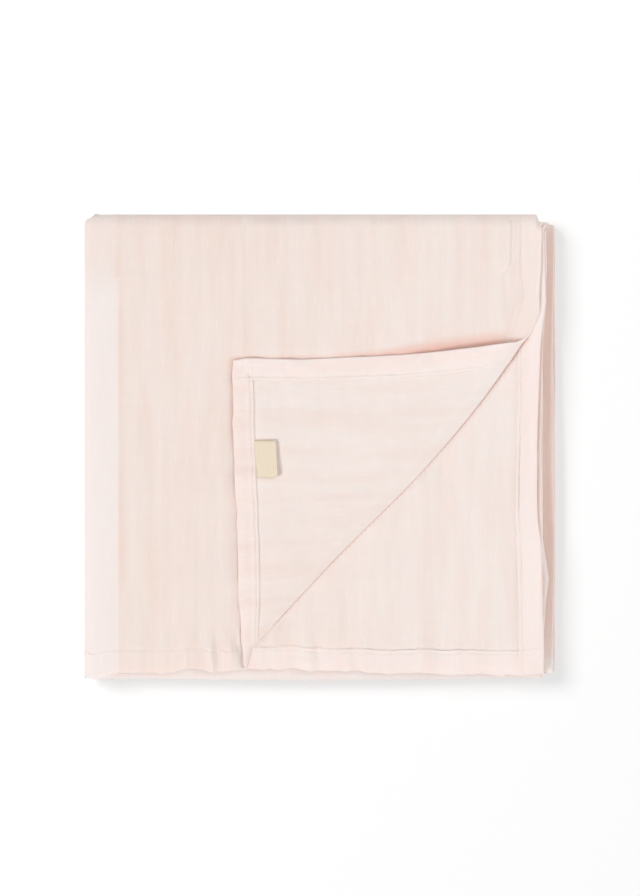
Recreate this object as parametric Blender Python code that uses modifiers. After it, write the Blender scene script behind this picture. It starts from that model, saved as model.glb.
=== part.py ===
"""A swaddle blanket of double muslin, folded to a square with one corner of its top layer turned back.

The blanket is one hemmed square of cloth. It is laid out flat as a thin slab, its top corner is turned
back, and it is then folded in half four times, so that sixteen layers lie on each other. The label is
sewn to the flat cloth and folds along with it. Metres, +Z up. The origin is in the middle of the
footprint, on the surface that the blanket lies on. +X is the hemmed side and -Y the hemmed front.
"""

import math
from collections import namedtuple

import bmesh
import bpy
from mathutils import Vector

MM = 0.001

# The cloth and how closely its layers lie.
CLOTH = 1.0 * MM
PITCH = 1.6 * MM
HEM_WIDTH = 15.0 * MM
HEM_STEP = 0.6 * MM
HEM_PROUD = 0.2 * MM
LAYERS = 16

# Where the top layer's free edges lie, and the lines where the stack starts to roll under.
RIGHT_EDGE = 146.5 * MM
FRONT_EDGE = -147.5 * MM
LEFT_ROLL = -135.0 * MM
BACK_ROLL = 144.6 * MM
# How far the rolls made by the first two folds stand out past those free edges.
RIGHT_ROLL_PROUD = 7.6 * MM
FRONT_ROLL_PROUD = 6.1 * MM

# A fold turns what lies past its line, on the side that away gives, down and back under the stack.
# Its roll is softness times as wide as a round one.
Fold = namedtuple("Fold", "name axis line away layers softness")
SOFTNESS = {1: 1.0, 2: 1.1, 4: 1.4, 8: 1.55}


def turn_length(layers):
    """The cloth that a fold of so many layers takes up, along the middle of its thickness."""
    return math.pi * layers * PITCH / 2


def roll_reach(layers):
    """How far the roll of a fold stands out past its line."""
    return SOFTNESS[layers] * ((layers - 0.5) * PITCH + CLOTH / 2)


def middle_line(roll, away, reach, layers, roll_layers):
    """Where the first fold on an axis lies, so that its roll ends at reach once it is folded under."""
    return 2 * roll - reach + away * (turn_length(roll_layers) - roll_reach(layers))


HALF_X = middle_line(LEFT_ROLL, -1, RIGHT_EDGE + RIGHT_ROLL_PROUD, 1, 8)
HALF_Y = middle_line(BACK_ROLL, 1, FRONT_EDGE - FRONT_ROLL_PROUD, 2, 4)
FOLDS = (
    Fold("in half, left side under", 0, HALF_X, -1, 1, SOFTNESS[1]),
    Fold("in half, back under", 1, HALF_Y, 1, 2, SOFTNESS[2]),
    Fold("again, back under", 1, BACK_ROLL, 1, 4, SOFTNESS[4]),
    Fold("again, left side under", 0, LEFT_ROLL, -1, 8, SOFTNESS[8]),
)

# The turned-back corner. Its crest runs from the foot, at the front hem, to the head, at the right hem.
CREST_FOOT = Vector((-51, -147, 0)) * MM
CREST_HEAD = Vector((138.7, 72, 0)) * MM
CREST_BOW = 4.4 * MM
# The flap slides along the crest as it turns back, and the hem at its head is drawn in.
FLAP_SKEW = 0.158
HEAD_PULL = 8 * MM
PULL_FROM = 0.2
# The loop of the fold is tight at the foot and loose at the head.
Loop = namedtuple("Loop", "half_width half_height lift ramp fall")
LOOP_AT_FOOT = Loop(1.3 * MM, 1.0 * MM, 0.0, 4 * MM, 16 * MM)
LOOP_AT_HEAD = Loop(6.5 * MM, 3.1 * MM, 0.8 * MM, 14 * MM, 60 * MM)

# Creases in the flat slab: how many strips each stretch of it has.
STRIPS_PER_PANEL = 6
STRIPS_PER_ROLL = {8: 9, 4: 6, 2: 4, 1: 3}
FLAP_CUTS = (-14, -7, -3, 0, 1.2, 2.6, 4.2, 6, 8.5, 12, 17, 24, 36)

# The lower half of the stack sits a little towards the front.
LOWER_SHIFT = 5.0 * MM
# Where the upper layers stand up softly: middle, half length, half width, height and direction.
Swell = namedtuple("Swell", "x y long wide height degrees")
SWELLS = (
    Swell(-136, 0, 190, 24, 1.6, 90),
    Swell(0, 110, 60, 55, 1.5, 90),
    Swell(-10, -70, 90, 45, 1.2, 80),
    Swell(112, -95, 55, 30, 1.3, 92),
    Swell(120, 70, 60, 35, 0.8, 70),
    Swell(-80, 120, 40, 40, 0.9, 90),
    Swell(48, -140, 45, 35, 1.0, 95),
)
EDGE_WANDER = 0.9 * MM

# The label is a ribbon folded in half, with its ends in the front hem near the turned corner.
LABEL_FROM_CORNER = 54.0 * MM
LABEL_WIDTH = 23.5 * MM
LABEL_LENGTH = 15.0 * MM
LABEL_PLY = 0.45 * MM
LABEL_GAP = 0.3 * MM
LABEL_RISE = 1.6 * MM
SEAT_GAP = 0.3 * MM

BLUSH = (0.86, 0.72, 0.65, 1)
CREAM = (0.85, 0.76, 0.60, 1)


def smooth(share):
    """Eases from 0 to 1 as share goes from 0 to 1."""
    share = min(1.0, max(0.0, share))
    return share * share * (3 - 2 * share)


def sheet_length(edge, half, layers):
    """The side of the hemmed square that the first fold on an axis halves."""
    return 2 * abs(edge - half) + turn_length(layers)


SHEET_X = sheet_length(RIGHT_EDGE, HALF_X, 1)
SHEET_Y = sheet_length(FRONT_EDGE, HALF_Y, 2)


# ---- Folding -------------------------------------------------------------------------------------


def fold_under(point, fold):
    """Rolls a point that lies past the fold's line round under the layers that are already there."""
    past = fold.away * (point[fold.axis] - fold.line)
    if past <= 0:
        return
    axis_height = -(fold.layers - 0.5) * PITCH
    radius = point.z - axis_height
    turn = turn_length(fold.layers)
    if past < turn:
        angle = math.pi * past / turn
        point[fold.axis] = fold.line + fold.away * fold.softness * radius * math.sin(angle)
        point.z = axis_height + radius * math.cos(angle)
    else:
        point[fold.axis] = fold.line - fold.away * (past - turn)
        point.z = axis_height - radius


def crest_frame():
    """The direction along the crest, the one across it towards the corner, and its length."""
    chord = CREST_HEAD - CREST_FOOT
    along = chord.normalized()
    return along, Vector((along.y, -along.x, 0)), chord.length


def loop_at(share):
    """The fold's loop at a share of the way from foot to head."""
    loose = min(1.2, max(0.0, share)) ** 2
    return Loop(*(foot + (head - foot) * loose for foot, head in zip(LOOP_AT_FOOT, LOOP_AT_HEAD)))


def crest_bow(share):
    """How far the crest bows out towards the corner, at a share of the way from foot to head."""
    share = min(1.0, max(0.0, share))
    return CREST_BOW * 8 * share**2 * (1 - share)


def crest_place(point):
    """A flat point as its share of the way along the crest and its distance past the loop's start."""
    along, across, length = crest_frame()
    from_foot = point - CREST_FOOT
    share = from_foot.dot(along) / length
    return share, from_foot.dot(across) - crest_bow(share) + loop_at(share).half_width


def loop_section(loop, past):
    """The fold's section: how far across and how high the cloth is, and which way it runs there."""
    turn = math.pi * math.sqrt((loop.half_width**2 + loop.half_height**2) / 2)
    if past < 0:
        return past, loop.lift * smooth(1 + past / loop.ramp), 0.0
    if past < turn:
        angle = math.pi * past / turn
        tangent = math.atan2(loop.half_height * math.sin(angle), loop.half_width * math.cos(angle))
        height = loop.lift + loop.half_height * (1 - math.cos(angle))
        return loop.half_width * math.sin(angle), height, tangent
    back = past - turn
    top = loop.lift + 2 * loop.half_height
    return -back, PITCH + (top - PITCH) * (1 - smooth(back / loop.fall)), math.pi


def turn_corner(point):
    """Turns the corner of the top layer back over itself, along the crest."""
    along, across, length = crest_frame()
    share, past = crest_place(point)
    loop = loop_at(share)
    if past <= -loop.ramp:
        return
    aside, height, tangent = loop_section(loop, past)
    drawn_in = smooth((share - PULL_FROM) / (1 - PULL_FROM)) * smooth(1 + past / loop.ramp)
    slide = FLAP_SKEW * max(0.0, past) - HEAD_PULL * drawn_in
    centre = CREST_FOOT + along * (share * length + slide)
    centre += across * (crest_bow(share) - loop.half_width + aside)
    face = Vector((0, 0, math.cos(tangent))) - across * math.sin(tangent)
    point.xyz = centre + Vector((0, 0, height)) + face * point.z


def settle(point):
    """Gives the folded stack the soft unevenness of cloth. The underside stays flat."""
    high = point.z / (LAYERS * PITCH)
    lower = 1 - smooth((high - 0.35) / 0.3)
    x, y = point.x / MM, point.y / MM
    z = point.z / PITCH
    point.y -= LOWER_SHIFT * lower * smooth((y + 40) / 180)
    point.x += EDGE_WANDER * math.sin(y / 34 + 1.3 * z) * smooth((x - 60) / 80)
    point.y += EDGE_WANDER * math.sin(x / 41 + 1.1 * z) * smooth((-60 - y) / 80)
    for swell in SWELLS:
        turned = math.radians(swell.degrees)
        dx, dy = x - swell.x, y - swell.y
        run = (dx * math.cos(turned) + dy * math.sin(turned)) / swell.long
        aside = (dy * math.cos(turned) - dx * math.sin(turned)) / swell.wide
        point.z += swell.height * MM * smooth(high) * math.exp(-(run**2) - aside**2)


def fold_up(mesh):
    """Turns the corner back, makes the four folds in order, and sets the stack on its underside."""
    for vert in mesh.verts:
        turn_corner(vert.co)
        for fold in FOLDS:
            fold_under(vert.co, fold)
        vert.co.z += (LAYERS - 1) * PITCH + CLOTH / 2
        settle(vert.co)


# ---- The flat cloth ------------------------------------------------------------------------------


def even_steps(start, end, strips):
    """The ends and the inner lines of a stretch that is divided evenly."""
    return [start + (end - start) * i / strips for i in range(strips + 1)]


def creases(edge, roll, half, roll_layers, half_layers):
    """Distances from the free edge of every line that the slab is creased along, on one axis.

    The lines of each panel come to lie under those of the panel before it, once folded.
    """
    to_roll, to_half = abs(edge - roll), abs(edge - half)
    after_roll = to_roll + turn_length(roll_layers)
    after_half = to_half + turn_length(half_layers)
    panel = [HEM_WIDTH - HEM_STEP] + even_steps(HEM_WIDTH, to_roll, STRIPS_PER_PANEL)
    near = panel + even_steps(to_roll, after_roll, STRIPS_PER_ROLL[roll_layers])[1:]
    near += [after_roll + to_roll - line for line in reversed(panel[:-1])] + [to_half]
    side = to_half + after_half
    middle = even_steps(to_half, after_half, STRIPS_PER_ROLL[half_layers])[1:-1]
    return near + middle + [side - line for line in reversed(near)]


def cut_along(mesh, faces, origin, normal):
    """Cuts the given faces along a line, without taking anything away."""
    edges = {edge for face in faces for edge in face.edges}
    verts = {vert for face in faces for vert in face.verts}
    geometry = list(verts) + list(edges) + list(faces)
    bmesh.ops.bisect_plane(mesh, geom=geometry, dist=1e-7, plane_co=origin, plane_no=normal)


def bow_corner(mesh, way):
    """Shifts the top corner by the crest's bow, so that straight cuts there follow the crest."""
    along, across, length = crest_frame()
    for vert in mesh.verts:
        share = (vert.co - CREST_FOOT).dot(along) / length
        vert.co += across * way * (crest_bow(share) - loop_at(share).half_width)


def flat_cloth():
    """The hemmed square, flat: a slab with a line of vertices wherever it will bend."""
    mesh = bmesh.new()
    bmesh.ops.create_grid(mesh, x_segments=1, y_segments=1, size=0.5)
    bmesh.ops.scale(mesh, vec=(SHEET_X, SHEET_Y, 1), verts=mesh.verts)
    middle = Vector((RIGHT_EDGE - SHEET_X / 2, FRONT_EDGE + SHEET_Y / 2, 0))
    bmesh.ops.translate(mesh, vec=middle, verts=mesh.verts)
    for line in creases(RIGHT_EDGE, LEFT_ROLL, HALF_X, 8, 1):
        cut_along(mesh, mesh.faces, Vector((RIGHT_EDGE - line, 0, 0)), Vector((1, 0, 0)))
    for line in creases(FRONT_EDGE, BACK_ROLL, HALF_Y, 4, 2):
        cut_along(mesh, mesh.faces, Vector((0, FRONT_EDGE + line, 0)), Vector((0, 1, 0)))
    cut_corner(mesh)
    thicken(mesh)
    return mesh


def cut_corner(mesh):
    """Creases the corner of the top layer along the crest, closely where it bends most."""
    _, across, _ = crest_frame()
    bow_corner(mesh, -1)
    for cut in FLAP_CUTS:
        panel = [
            face
            for face in mesh.faces
            if face.calc_center_median().x > LEFT_ROLL and face.calc_center_median().y < BACK_ROLL
        ]
        cut_along(mesh, panel, CREST_FOOT + across * cut * MM, across)
    bow_corner(mesh, 1)


def thicken(mesh):
    """Makes the flat sheet a slab, with its hems proud on the back of the cloth."""
    made = bmesh.ops.extrude_face_region(mesh, geom=mesh.faces[:])
    front = {item for item in made["geom"] if isinstance(item, bmesh.types.BMVert)}
    for vert in mesh.verts:
        from_side = min(RIGHT_EDGE - vert.co.x, vert.co.x - RIGHT_EDGE + SHEET_X)
        from_end = min(vert.co.y - FRONT_EDGE, FRONT_EDGE + SHEET_Y - vert.co.y)
        if vert in front:
            vert.co.z = CLOTH / 2
        elif min(from_side, from_end) < HEM_WIDTH - HEM_STEP / 2:
            vert.co.z = -CLOTH / 2 - HEM_PROUD
        else:
            vert.co.z = -CLOTH / 2
    bmesh.ops.recalc_face_normals(mesh, faces=mesh.faces)


def flat_label():
    """The folded ribbon on the back of the flat cloth: a strip with one turn, lifting at its fold."""
    mesh = bmesh.new()
    left = RIGHT_EDGE - LABEL_FROM_CORNER - LABEL_WIDTH
    start = FRONT_EDGE + HEM_WIDTH + SEAT_GAP
    turn_radius = (LABEL_PLY + LABEL_GAP) / 2
    lowest = -CLOTH / 2 - SEAT_GAP - LABEL_PLY / 2
    section = [(share * LABEL_LENGTH, 0.0) for share in (0, 0.25, 0.5, 0.75, 1)]
    section += [
        (LABEL_LENGTH + turn_radius * math.sin(angle), turn_radius * (1 - math.cos(angle)))
        for angle in (math.radians(degrees) for degrees in (45, 90, 135))
    ]
    section += [(share * LABEL_LENGTH, 2 * turn_radius) for share in (1, 0.75, 0.5, 0.25, 0)]
    verts = []
    for reach, above in section:
        rise = LABEL_RISE * (reach / LABEL_LENGTH) ** 2
        verts.append(mesh.verts.new((left, start + reach, lowest - above - rise)))
    edges = [mesh.edges.new(pair) for pair in zip(verts, verts[1:])]
    for _ in range(4):
        made = bmesh.ops.extrude_edge_only(mesh, edges=edges)
        moved = [item for item in made["geom"] if isinstance(item, bmesh.types.BMVert)]
        bmesh.ops.translate(mesh, vec=(LABEL_WIDTH / 4, 0, 0), verts=moved)
        edges = [item for item in made["geom"] if isinstance(item, bmesh.types.BMEdge)]
        edges = [edge for edge in edges if all(vert in moved for vert in edge.verts)]
    return mesh


# ---- The objects ---------------------------------------------------------------------------------


def cloth_material(name, colour):
    material = bpy.data.materials.new(name)
    material.use_nodes = True
    shader = material.node_tree.nodes["Principled BSDF"]
    shader.inputs["Base Color"].default_value = colour
    shader.inputs["Roughness"].default_value = 0.9
    shader.inputs["Metallic"].default_value = 0.0
    return material


def add_object(name, mesh, collection, material):
    data = bpy.data.meshes.new(name)
    mesh.to_mesh(data)
    mesh.free()
    data.materials.append(material)
    made = bpy.data.objects.new(name, data)
    collection.objects.link(made)
    return made


def centre_footprint(objects):
    """Moves the objects so that the origin is in the middle of the footprint."""
    corners = [vert.co for made in objects for vert in made.data.vertices]
    for axis in (0, 1):
        middle = (min(c[axis] for c in corners) + max(c[axis] for c in corners)) / 2
        for corner in corners:
            corner[axis] -= middle


def main():
    for old in list(bpy.data.objects):
        bpy.data.objects.remove(old)
    collection = bpy.data.collections.new("Swaddle blanket")
    bpy.context.scene.collection.children.link(collection)

    cloth = flat_cloth()
    fold_up(cloth)
    blanket = add_object("blanket", cloth, collection, cloth_material("Double muslin", BLUSH))

    ribbon = flat_label()
    fold_up(ribbon)
    label = add_object("label", ribbon, collection, cloth_material("Woven ribbon", CREAM))
    centre_footprint([blanket, label])
    plies = label.modifiers.new("Ply", "SOLIDIFY")
    plies.thickness = LABEL_PLY
    plies.offset = 0
    for made in (blanket, label):
        made.data.shade_smooth()


main()
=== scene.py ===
import math

import bmesh
import bpy
import numpy as np
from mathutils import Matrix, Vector


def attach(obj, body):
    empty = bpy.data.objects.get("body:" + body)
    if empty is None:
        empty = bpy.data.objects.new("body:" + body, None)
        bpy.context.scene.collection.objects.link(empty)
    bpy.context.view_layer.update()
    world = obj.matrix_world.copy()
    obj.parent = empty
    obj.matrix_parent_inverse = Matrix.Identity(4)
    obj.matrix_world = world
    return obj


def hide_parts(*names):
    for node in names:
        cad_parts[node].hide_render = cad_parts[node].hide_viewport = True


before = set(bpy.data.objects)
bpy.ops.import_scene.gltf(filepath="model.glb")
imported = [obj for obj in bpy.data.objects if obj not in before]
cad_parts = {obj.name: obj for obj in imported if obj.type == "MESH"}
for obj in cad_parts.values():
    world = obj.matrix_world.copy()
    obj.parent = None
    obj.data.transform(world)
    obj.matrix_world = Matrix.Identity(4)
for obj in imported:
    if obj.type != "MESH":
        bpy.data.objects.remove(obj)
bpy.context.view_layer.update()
print("frame loaded")

# how the cloth is folded
# Worked out in millimetres, on the flat cloth: x to the hemmed side, y to the back, w up off its face.
# The numbers are those of the solid, so the fine cloth lies in the same folds.
stack = dict(
    pitch=1.6,
    solidCloth=1.0,
    layers=16,
    rightEdge=146.5,
    frontEdge=-147.5,
    leftRoll=-135.0,
    backRoll=144.6,
    rightProud=7.6,
    frontProud=6.1,
    softness={1: 1.0, 2: 1.1, 4: 1.4, 8: 1.55},
    lowerShift=4.2,
    edgeWander=0.9,
    loosened=dict(right=3.0, left=1.2, front=1.6),  # how far the rolls have sprung open
    # how far the left roll's outer layers reach back, by the distance to the left
    backOfRoll=((145, 0.0), (147.2, 1.6), (148.0, -0.2), (151, 0.3), (153, 2.4), (154.5, 4.0)),
    centre=(-0.37, 0.68),
)
crest = dict(
    foot=(-51.0, -147.0),
    head=(138.7, 72.0),
    bow=4.4,
    skew=0.158,
    pull=8.0,
    pullFrom=0.2,
    # tight at the foot, loose at the head
    halfWidth=(1.3, 6.5),
    halfHeight=(1.0, 3.1),
    lift=(0.0, 0.8),
    ramp=(4.0, 14.0),
    fall=(16.0, 60.0),
    pressed=0.6,  # how far the fold's nose is pressed down
    sunk=0.45,  # and how far it sinks onto the layer below
    nip=3.3,  # and how far its lower half is pushed in
    footOut=2.2,  # how far its foot stands out
    noseWide=(1.5, 0.9),  # mm, and what is added by the fold's half width
    headLess=0.2,  # how much less it is pressed at the head
    sunkWide=4.0,
    easing=26,  # how far from the fold the layer is still moved
)
# where the upper layers stand up softly: x, y, half length, half width, height, direction in degrees
swells = (
    (-136, 0, 190, 24, 1.6, 90),
    (0, 110, 60, 55, 1.5, 90),
    (-10, -70, 90, 45, 1.2, 80),
    (112, -95, 55, 30, 1.3, 92),
    (120, 70, 60, 35, 0.8, 70),
    (-80, 120, 40, 40, 0.9, 90),
    (48, -140, 45, 35, 1.0, 95),
)


def ease(share):
    share = np.clip(share, 0.0, 1.0)
    return share * share * (3 - 2 * share)


def rising(value, start, over):
    # from 0 at start to 1 when it is over
    return ease((value - start) / over)


def falling(value, end, over):
    # from 1 to 0 at the end
    return ease((end - value) / over)


def hump(value, middle, wide):
    return np.exp(-(((value - middle) / wide) ** 2))


# the same with an amount first
def grow(value, amount, start, over):
    return amount * rising(value, start, over)


def fade(value, amount, end, over):
    return amount * falling(value, end, over)


def swell(value, amount, middle, wide):
    return amount * hump(value, middle, wide)


def turnLength(layers):
    return math.pi * layers * stack["pitch"] / 2


def rollReach(layers):
    return stack["softness"][layers] * ((layers - 0.5) * stack["pitch"] + stack["solidCloth"] / 2)


rightEdge, frontEdge = stack["rightEdge"], stack["frontEdge"]
leftRoll, backRoll = stack["leftRoll"], stack["backRoll"]
# the lines where the cloth was first halved each way, and the square that it was cut to
halfX = 2 * leftRoll - rightEdge - stack["rightProud"] - turnLength(8) + rollReach(1)
halfY = 2 * backRoll - frontEdge + stack["frontProud"] + turnLength(4) - rollReach(2)
clothWidth = 2 * (rightEdge - halfX) + turnLength(1)
clothLength = 2 * (halfY - frontEdge) + turnLength(2)
leftEdge = rightEdge - clothWidth
backEdge = frontEdge + clothLength
print("cut to %.0f x %.0f mm" % (clothWidth, clothLength))

crestFoot = np.array(crest["foot"])
crestRun = np.array(crest["head"]) - crestFoot
crestLength = float(np.hypot(*crestRun))
alongCrest = crestRun / crestLength
acrossCrest = np.array((alongCrest[1], -alongCrest[0]))


def loopSize(name, share):
    foot, head = crest[name]
    return foot + (head - foot) * np.clip(share, 0.0, 1.2) ** 2


def crestBow(share):
    share = np.clip(share, 0.0, 1.0)
    return crest["bow"] * 8 * share**2 * (1 - share)


def crestPlace(x, y):
    # share of the way up the crest, and distance past the start of its loop
    awayX, awayY = x - crestFoot[0], y - crestFoot[1]
    share = (awayX * alongCrest[0] + awayY * alongCrest[1]) / crestLength
    across = awayX * acrossCrest[0] + awayY * acrossCrest[1]
    return share, across - crestBow(share) + loopSize("halfWidth", share)


def loopTurn(share):
    wide, high = loopSize("halfWidth", share), loopSize("halfHeight", share)
    return math.pi * np.sqrt((wide**2 + high**2) / 2)


def nipAt(share):
    pushed = crest["nip"] * ease(share / 0.09) * (1 - rising(share, 0.28, 0.38))
    return pushed - crest["footOut"] * (1 - ease(share / 0.05))


def pastCrest(x, y):
    # share of the way up the crest, and distance past it as it lies
    share, past = crestPlace(x, y)
    return share, past - loopSize("halfWidth", share) + nipAt(share)


def onTopPanel(x, y):
    return (x > leftRoll - 2) & (y < backRoll + 2)


def onSecondPanel(x, y):
    return (x < leftEdge + 340) & (y < backRoll)


def onSecondSheet(x, y):
    return (x < halfX) & (y < backRoll)


def outwards(x, y):
    return np.where(x < halfX, -1.0, 1.0), np.where(y < halfY, -1.0, 1.0)


def fromBackFold(y):
    return np.abs(halfY + turnLength(2) / 2 - y)


def turnCorner(x, y, w):
    share, past = crestPlace(x, y)
    names = ("halfWidth", "halfHeight", "lift", "ramp", "fall")
    wide, high, lift, ramp, fall = [loopSize(name, share) for name in names]
    turn = loopTurn(share)
    angle = np.clip(math.pi * past / turn, 0.0, math.pi)
    before, after = past < 0, past >= turn
    aside = np.where(before, past, wide * np.sin(angle))
    height = np.where(before, lift * ease(1 + past / ramp), lift + high * (1 - np.cos(angle)))
    top = lift + 2 * high
    back = past - turn
    aside = np.where(after, -back, aside)
    resting = stack["pitch"] + (top - stack["pitch"]) * (1 - ease(back / fall))
    height = np.where(after, resting, height)
    noseWide = crest["noseWide"][0] + crest["noseWide"][1] * wide
    pressed = crest["pressed"] * hump(wide, aside, noseWide) * (1 - crest["headLess"] * ease(share))
    height = height * (1 - np.where(before, 0.0, pressed))
    height = height - swell(wide, crest["sunk"], aside, crest["sunkWide"])
    easing = crest["easing"]
    pushed = np.where(after, 1 - ease(back / easing), np.where(before, ease(1 + past / easing), 1.0))
    lean = np.arctan2(high * np.sin(angle), wide * np.cos(angle))
    lean = np.where(before, 0.0, np.where(after, math.pi, lean))
    slide = crest["skew"] * np.maximum(0.0, past)
    drawnIn = ease((share - crest["pullFrom"]) / (1 - crest["pullFrom"])) * ease(1 + past / ramp)
    slide = slide - crest["pull"] * drawnIn
    along = share * crestLength + slide
    across = crestBow(share) - wide + aside - nipAt(share) * pushed - np.sin(lean) * w
    turnedX = crestFoot[0] + along * alongCrest[0] + across * acrossCrest[0]
    turnedY = crestFoot[1] + along * alongCrest[1] + across * acrossCrest[1]
    turnedZ = height + np.cos(lean) * w
    moved = onTopPanel(x, y) & (past > -easing)
    return np.where(moved, turnedX, x), np.where(moved, turnedY, y), np.where(moved, turnedZ, w)


def rollUnder(place, z, line, away, layers):
    # what lies past the line goes round and back under the layers that are already there
    past = away * (place - line)
    axis = -(layers - 0.5) * stack["pitch"]
    radius = z - axis
    turn = turnLength(layers)
    angle = math.pi * np.clip(past, 0.0, turn) / turn
    rolled = line + away * stack["softness"][layers] * radius * np.sin(angle)
    under = line - away * (past - turn)
    place = np.where(past <= 0, place, np.where(past < turn, rolled, under))
    z = np.where(past <= 0, z, axis + radius * np.cos(angle))
    return place, z


# how the stack settles, in mm, and as shares for what is drawn in and hollow
settling = dict(upperEnd=4.9, lowerEnd=1.65, tucked=1.3, drawnIn=0.5, hollow=0.05, shallower=0.8)


def settle(x, y, z):
    high = z / (stack["layers"] * stack["pitch"])
    layer = z / stack["pitch"]
    lower = 1 - rising(high, 0.35, 0.3)
    laidY = y - stack["lowerShift"] * lower * rising(y, -40, 180)
    laidX = x + stack["edgeWander"] * np.sin(y / 34 + 1.3 * layer) * rising(x, 60, 80)
    laidY += stack["edgeWander"] * np.sin(x / 41 + 1.1 * layer) * falling(y, -60, 80)
    laidZ = z
    for midX, midY, long, wide, height, degrees in swells:
        turned = math.radians(degrees)
        run = ((x - midX) * math.cos(turned) + (y - midY) * math.sin(turned)) / long
        aside = ((y - midY) * math.cos(turned) - (x - midX) * math.sin(turned)) / wide
        laidZ = laidZ + height * ease(high) * np.exp(-(run**2) - aside**2)
    loosened = stack["loosened"]
    laidX += loosened["right"] * lower * rising(x, 134, 18)
    laidX -= fade(x, loosened["left"], -138, 14)
    laidY -= fade(y, loosened["front"], -148.5, 4)
    # the ends of the back roll
    atBack = rising(y, 125, 26)
    laidY += np.interp(-x, *zip(*stack["backOfRoll"])) * atBack
    laidY -= settling["upperEnd"] * (1 - lower) * rising(x, 143.9, 1.5) * atBack
    laidY -= settling["lowerEnd"] * lower * rising(x, 149.4, 0.8) * atBack
    # in front the lower folds stay under the upper ones, and are drawn in at the right
    laidY += fade(z, settling["tucked"], 12.5, 2) * falling(y, -149, 3) * rising(x, -132, 10)
    drawnIn = settling["drawnIn"] * lower * rising(x, 130, 12)
    laidY = np.where(y < frontEdge, laidY - drawnIn * (laidY - frontEdge), laidY)
    # along the right side they sag into a hollow between the hems and the outermost fold
    hollow = rising(x, 146.2, 1.6) * (1 - rising(x, 151.6, 2.0)) * falling(y, 136, 14) * rising(y, -128, 10)
    hollow = hollow * (1 - fade(y, settling["shallower"], -72, 8) * rising(y, -112, 6))
    laidZ = laidZ * (1 - settling["hollow"] * hollow * lower)
    return laidX, laidY, laidZ


def fold(x, y, w):
    # flat cloth to folded stack, in metres
    x, y, z = turnCorner(x, y, w)
    x, z = rollUnder(x, z, halfX, -1, 1)
    y, z = rollUnder(y, z, halfY, 1, 2)
    y, z = rollUnder(y, z, backRoll, 1, 4)
    x, z = rollUnder(x, z, leftRoll, -1, 8)
    z = z + (stack["layers"] - 1) * stack["pitch"] + stack["solidCloth"] / 2
    x, y, z = settle(x, y, z)
    return np.stack((x + stack["centre"][0], y + stack["centre"][1], z), 1) * 0.001


# the cloth's own unevenness
def wander(along, seed, spacing):
    # a smooth uneven wave from -1 to 1, with a turn about every spacing
    knots = np.random.RandomState(seed).uniform(-1, 1, 1024)
    place = along / spacing
    low = np.floor(place).astype(int)
    share = ease(place - low)
    return knots[low % 1024] * (1 - share) + knots[(low + 1) % 1024] * share


def sway(along, amount, seed, spacing):
    return amount * wander(along, seed, spacing)


def mottle(x, y, seed, stepX, stepY):
    # the same over a surface
    knots = np.random.RandomState(seed).uniform(-1, 1, (256, 256))
    placeX, placeY = x / stepX, y / stepY
    lowX, lowY = np.floor(placeX).astype(int), np.floor(placeY).astype(int)
    shareX, shareY = ease(placeX - lowX), ease(placeY - lowY)
    rows = []
    for row in (lowY % 256, (lowY + 1) % 256):
        rows.append(knots[lowX % 256, row] * (1 - shareX) + knots[(lowX + 1) % 256, row] * shareX)
    return rows[0] * (1 - shareY) + rows[1] * shareY


def mottled(x, y, rows):
    return sum(height * mottle(x, y, seed, stepX, stepY) for height, seed, stepX, stepY in rows)


def total(value, base, *rows):
    # the base and what the rows add to it, each a function and its numbers
    return sum((form(value, *numbers) for form, *numbers in rows), base)


def softFolds(x, y, rows):
    # ridges and troughs. Each row: from x, y, to x, y, width to its left, width to its right, height
    up = np.zeros_like(x)
    for startX, startY, endX, endY, leftWide, rightWide, height in rows:
        length = math.hypot(endX - startX, endY - startY)
        runX, runY = (endX - startX) / length, (endY - startY) / length
        run = (x - startX) * runX + (y - startY) * runY
        aside = (y - startY) * runX - (x - startX) * runY
        beyond = np.maximum(0.0, np.maximum(-run, run - length))
        wide = np.where(aside > 0, leftWide, rightWide)
        endWide = 2.0 + 1.5 * min(leftWide, rightWide)
        up += height * np.exp(-((np.abs(aside) / wide) ** 1.5) - (beyond / endWide) ** 2)
    return up


hem = dict(
    wide=15.0,
    stitchAt=12.6,
    thickness=0.75,
    rounding=0.45,
    proudHidden=0.25,
    proudSeen=0.5,
    # how its seam and inner fold stray: amount, seed, spacing
    stray=dict(side=(0.35, 61, 13), end=(0.35, 63, 13)),
    # forms across it: height, distance in, half width, and what makes them uneven
    puff=(0.85, 4.6, 4.2),
    puffSway=(0.6, 62, 10),
    ridge=(0.55, 14.2, 0.7),
    ridgeSway=(0.5, 41, 5),
    groove=(0.48, 12.6, 0.6),
    outside=(0.34, 0.6, 0.6),
    overRoot=(0.55, 13.4, 1.5),
    crossing=0.3,  # how much prouder it is where two hems cross
)
label = dict(
    fromCorner=54.0,
    width=24.4,
    length=15.2,
    rootAt=14.2,
    ply=0.45,
    gap=0.30,
    rise=2.6,
    riseBend=1.6,
    rounding=1.4,
    roundest=0.95,
    below=0.25,  # how far under the hem it starts
    rootPly=0.25,  # share of its thickness at the root, and how far up it is pressed
    rootReach=0.3,
    crown=0.25,
    strips=12,
)
labelMiddle = rightEdge - label["fromCorner"] - label["width"] / 2
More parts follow.
